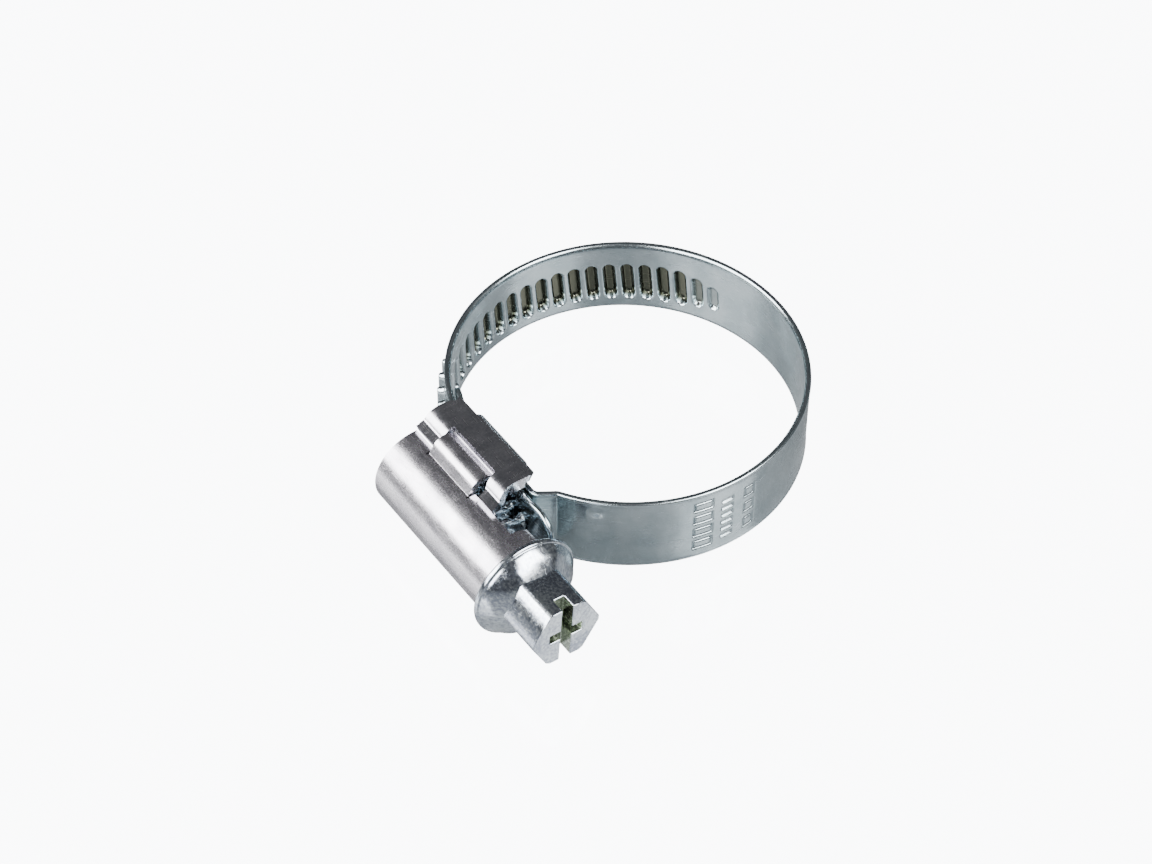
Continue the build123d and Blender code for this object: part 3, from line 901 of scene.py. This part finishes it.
def screw(material, thread_material, recess_shade_material):
    """Worm shank, flange and head, all turning with the screw."""
    sides = np.linspace(0, 2 * math.pi, 97)[:-1]
    rear_end, thread_end = SCREW_LOW.x + REAR_ROUNDING, THREAD_END + 0.4
    shank_x = np.unique(np.round(np.concatenate([
        steps([SCREW_LOW.x, rear_end], 0.08), steps([rear_end, thread_end], 0.095),
        steps([thread_end, NECK_START, FLANGE_REAR + 0.3], 0.15)]), 4))
    shank = turned("screw_shank", shank_x, sides, shank_radius, thread_material)
    fine_sides = np.linspace(0, 2 * math.pi, 181)[:-1]
    rim_end = FLANGE_REAR + FLANGE_RIM
    rounds = np.array([0, 0.01, 0.04, 0.08, 0.14, 0.19, FLANGE_ROUNDING])
    flange_x = np.unique(np.round(np.concatenate([
        FLANGE_REAR + rounds, rim_end - rounds, steps([rim_end, HEX_START + 0.3], 0.1)]), 4))
    flange = turned("screw_flange", flange_x, fine_sides, flange_radius, material)
    head = hex_head(material, recess_shade_material)
    for piece in (shank, flange, head):
        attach(piece, "screw")
        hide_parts("worm_screw")


# ---------------------------------------------------------------- materials

CLOUD_SCALE = 0.35
SCRATCH_SCALE = 1.3
SCRATCH_STRETCH = (0.25, 9.0, 3.0)
ROUGHNESS_SPREAD = 0.05
PIT_ROUGHNESS = 0.08
SCRATCH_ROUGHNESS = 0.12
BUMP_HEIGHT = 0.02


def zinc(name, tint, dark_tint, roughness, streak_scale, speckle=0.5, bump=0.12, pit_scale=7.0,
         recess_shade_tint=None):
    """Zinc-plated steel: cloudy tint, drawn streaks, fine pits and a few scratches.

    recess_shade_tint is painted shade: a dark colour mixed in inside the pressed ribs, the more the
    deeper the hollow.
    """
    material = bpy.data.materials.new(name)
    material.use_nodes = True
    tree = material.node_tree
    nodes, links = tree.nodes, tree.links
    shader = nodes["Principled BSDF"]
    shader.inputs["Metallic"].default_value = 1.0
    place = nodes.new("ShaderNodeAttribute")
    place.attribute_name = "grain"
    place.attribute_type = "GEOMETRY"

    def noise(scale, detail, vector_scale=(1, 1, 1), rough=0.5):
        """Noise over the grain coordinates."""
        mapping = nodes.new("ShaderNodeMapping")
        mapping.inputs["Scale"].default_value = vector_scale
        links.new(place.outputs["Vector"], mapping.inputs["Vector"])
        texture = nodes.new("ShaderNodeTexNoise")
        texture.inputs["Scale"].default_value = scale
        texture.inputs["Detail"].default_value = detail
        texture.inputs["Roughness"].default_value = rough
        links.new(mapping.outputs["Vector"], texture.inputs["Vector"])
        return texture.outputs["Fac"]

    def ramp(value, low, high, low_out=0.0, high_out=1.0):
        """The value's range from low to high, mapped on to the range of the output."""
        node = nodes.new("ShaderNodeMapRange")
        for socket, number in zip(("From Min", "From Max", "To Min", "To Max"),
                                  (low, high, low_out, high_out)):
            node.inputs[socket].default_value = number
        links.new(value, node.inputs["Value"])
        return node.outputs["Result"]

    def add(a, b, scale_b):
        """a plus b times scale_b."""
        node = nodes.new("ShaderNodeMath")
        node.operation = "MULTIPLY_ADD"
        links.new(b, node.inputs[0])
        node.inputs[1].default_value = scale_b
        links.new(a, node.inputs[2])
        return node.outputs["Value"]

    clouds = noise(CLOUD_SCALE, 3)
    pits = noise(pit_scale, 5, rough=0.65)
    streaks = noise(1.0, 4, streak_scale, rough=0.6)
    scratches = ramp(noise(SCRATCH_SCALE, 2, SCRATCH_STRETCH), 0.66, 0.74)

    tones = nodes.new("ShaderNodeMix")
    tones.data_type = "RGBA"
    tones.inputs["A"].default_value = (*dark_tint, 1)
    tones.inputs["B"].default_value = (*tint, 1)
    mixed = add(ramp(clouds, 0.3, 0.7), ramp(pits, 0.35, 0.65, -0.5, 0.5), speckle)
    links.new(mixed, tones.inputs["Factor"])
    colour = tones.outputs["Result"]
    # painted shade: darken the zinc towards the recess colour, the more the deeper a point lies in a
    # rib's hollow
    if recess_shade_tint is not None:
        hollow = nodes.new("ShaderNodeAttribute")
        hollow.attribute_name = "hollow"
        hollow.attribute_type = "GEOMETRY"
        shade_mix = nodes.new("ShaderNodeMix")
        shade_mix.data_type = "RGBA"
        links.new(ramp(hollow.outputs["Fac"], 0.15, 0.8), shade_mix.inputs["Factor"])
        links.new(colour, shade_mix.inputs["A"])
        shade_mix.inputs["B"].default_value = (*recess_shade_tint, 1)
        colour = shade_mix.outputs["Result"]
    links.new(colour, shader.inputs["Base Color"])

    rough = add(ramp(streaks, 0.3, 0.7, roughness - ROUGHNESS_SPREAD, roughness + ROUGHNESS_SPREAD),
                ramp(pits, 0.3, 0.7, -0.5, 0.5), PIT_ROUGHNESS)
    rough = add(rough, scratches, SCRATCH_ROUGHNESS)
    links.new(rough, shader.inputs["Roughness"])

    height = add(streaks, pits, 0.5)
    height = add(height, scratches, -0.35)
    bumps = nodes.new("ShaderNodeBump")
    bumps.inputs["Strength"].default_value = bump
    bumps.inputs["Distance"].default_value = BUMP_HEIGHT * MM
    links.new(height, bumps.inputs["Height"])
    links.new(bumps.outputs["Normal"], shader.inputs["Normal"])
    return material


# ---------------------------------------------------------------- object

# the band's near-black recess colour is painted shade in the hollows inside the pressed ribs
band_zinc = zinc("band_zinc", (0.57, 0.65, 0.68), (0.40, 0.48, 0.51), 0.20, (0.25, 3.0, 1.0),
                 recess_shade_tint=(0.12, 0.125, 0.095))
barrel_zinc = zinc("housing_zinc", (0.76, 0.74, 0.78), (0.55, 0.53, 0.58), 0.26, (0.5, 2.0, 1.0),
                   bump=0.35, pit_scale=5.0)
saddle_zinc = zinc("saddle_zinc", (0.68, 0.67, 0.71), (0.46, 0.46, 0.50), 0.22, (2.0, 0.6, 1.0),
                   bump=0.35, pit_scale=5.0)
screw_zinc = zinc("screw_zinc", (0.76, 0.82, 0.86), (0.36, 0.40, 0.48), 0.17, (2.0, 0.7, 1.0),
                  speckle=1.2, bump=0.35, pit_scale=3.5)
thread_zinc = zinc("thread_zinc", (0.62, 0.65, 0.69), (0.40, 0.43, 0.48), 0.20, (2.0, 0.7, 1.0),
                   bump=0.08, pit_scale=3.5)
# painted shade: the recess in the screw's end gets a darker, greener zinc than the head
recess_shade_zinc = zinc("recess_shade_zinc", (0.58, 0.63, 0.54), (0.27, 0.31, 0.25), 0.22, (1.0, 1.0, 1.0),
                   speckle=1.0, pit_scale=3.0)

band_grid(band_zinc)
housing_shell = barrel(barrel_zinc)
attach(housing_shell, "housing")
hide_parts("worm_housing")
saddle_shell = saddle(saddle_zinc)
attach(saddle_shell, "housing")
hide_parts("saddle")
screw(screw_zinc, thread_zinc, recess_shade_zinc)


# ---------------------------------------------------------------- floor, light and camera

FLOOR_HALF = 1500
FLOOR_GLOW = 0.05
FLOOR_SEEN = 10.0
WORLD_STRENGTH = 0.14


def floor_material():
    """Glossy white acrylic, overexposed to the camera and darker in what mirrors it."""
    material = bpy.data.materials.new("white_acrylic")
    material.use_nodes = True
    nodes, links = material.node_tree.nodes, material.node_tree.links
    shader = nodes["Principled BSDF"]
    shader.inputs["Base Color"].default_value = (0.20, 0.205, 0.21, 1)
    shader.inputs["Roughness"].default_value = 0.10
    shader.inputs["Specular IOR Level"].default_value = 0.6
    shader.inputs["Emission Color"].default_value = (0.95, 0.97, 1.0, 1)
    path = nodes.new("ShaderNodeLightPath")
    glow = nodes.new("ShaderNodeMapRange")
    glow.inputs["To Min"].default_value = FLOOR_GLOW
    glow.inputs["To Max"].default_value = FLOOR_SEEN
    links.new(path.outputs["Is Camera Ray"], glow.inputs["Value"])
    links.new(glow.outputs["Result"], shader.inputs["Emission Strength"])
    return material


def floor():
    """A wide plane just under the object, which isn't part of it."""
    half = FLOOR_HALF
    z = cad_box[0].z / MM
    points = [(-half, -half, z), (half, -half, z), (half, half, z), (-half, half, z)]
    piece = make_piece("floor", points, [[0, 1, 2, 3]], floor_material(), smooth=False)


def way_to(azimuth, elevation):
    a, e = math.radians(azimuth), math.radians(elevation)
    return Vector((math.sin(a) * math.cos(e), -math.cos(a) * math.cos(e), math.sin(e)))


def softbox(name, azimuth, elevation, distance, width, height, power):
    """Area light aimed at the ring."""
    light = bpy.data.lights.new(name, "AREA")
    light.shape = "RECTANGLE"
    light.size = width * MM
    light.size_y = height * MM
    light.energy = power
    lamp = bpy.data.objects.new(name, light)
    bpy.context.scene.collection.objects.link(lamp)
    back = way_to(azimuth, elevation)
    lamp.location = back * distance * MM
    lamp.rotation_mode = "QUATERNION"
    lamp.rotation_quaternion = (-back).to_track_quat("-Z", "Y")


def world():
    """Dim surroundings."""
    scene_world = bpy.data.worlds.new("studio")
    bpy.context.scene.world = scene_world
    scene_world.use_nodes = True
    background = scene_world.node_tree.nodes["Background"]
    background.inputs["Color"].default_value = (0.75, 0.77, 0.80, 1)
    background.inputs["Strength"].default_value = WORLD_STRENGTH


CAMERA_AZIMUTH = 53.09
CAMERA_ELEVATION = 46.48
CAMERA_DISTANCE = 336.1
CAMERA_LENS = 103.9
CAMERA_PAN = 0.8558
CAMERA_TILT = -0.5962
CAMERA_ROLL = -1.883


def camera():
    """The main view: aimed at the ring's centre, then panned, tilted and rolled a little."""
    data = bpy.data.cameras.new("camera")
    data.lens = CAMERA_LENS
    data.sensor_width = 36
    data.clip_start = 10 * MM
    data.clip_end = 5000 * MM
    shot = bpy.data.objects.new("camera", data)
    bpy.context.scene.collection.objects.link(shot)
    back = way_to(CAMERA_AZIMUTH, CAMERA_ELEVATION)
    right = way_to(CAMERA_AZIMUTH + 90, 0)
    up = back.cross(right)
    pan, tilt, roll = (math.radians(v) for v in (CAMERA_PAN, CAMERA_TILT, CAMERA_ROLL))
    x1 = math.cos(pan) * right - math.sin(pan) * back
    z1 = -math.sin(pan) * right - math.cos(pan) * back
    y1 = math.cos(tilt) * up - math.sin(tilt) * z1
    z2 = math.sin(tilt) * up + math.cos(tilt) * z1
    x2 = math.cos(roll) * x1 - math.sin(roll) * y1
    y2 = math.sin(roll) * x1 + math.cos(roll) * y1
    shot.matrix_world = Matrix((x2, y2, -z2)).transposed().to_4x4()
    shot.location = back * CAMERA_DISTANCE * MM
    bpy.context.scene.camera = shot


floor()
world()
softbox("left_softbox", azimuth=CAMERA_AZIMUTH - 61, elevation=33, distance=420,
        width=620, height=275, power=7.8)
softbox("right_softbox", azimuth=CAMERA_AZIMUTH + 61, elevation=43, distance=500,
        width=320, height=300, power=4.8)
camera()
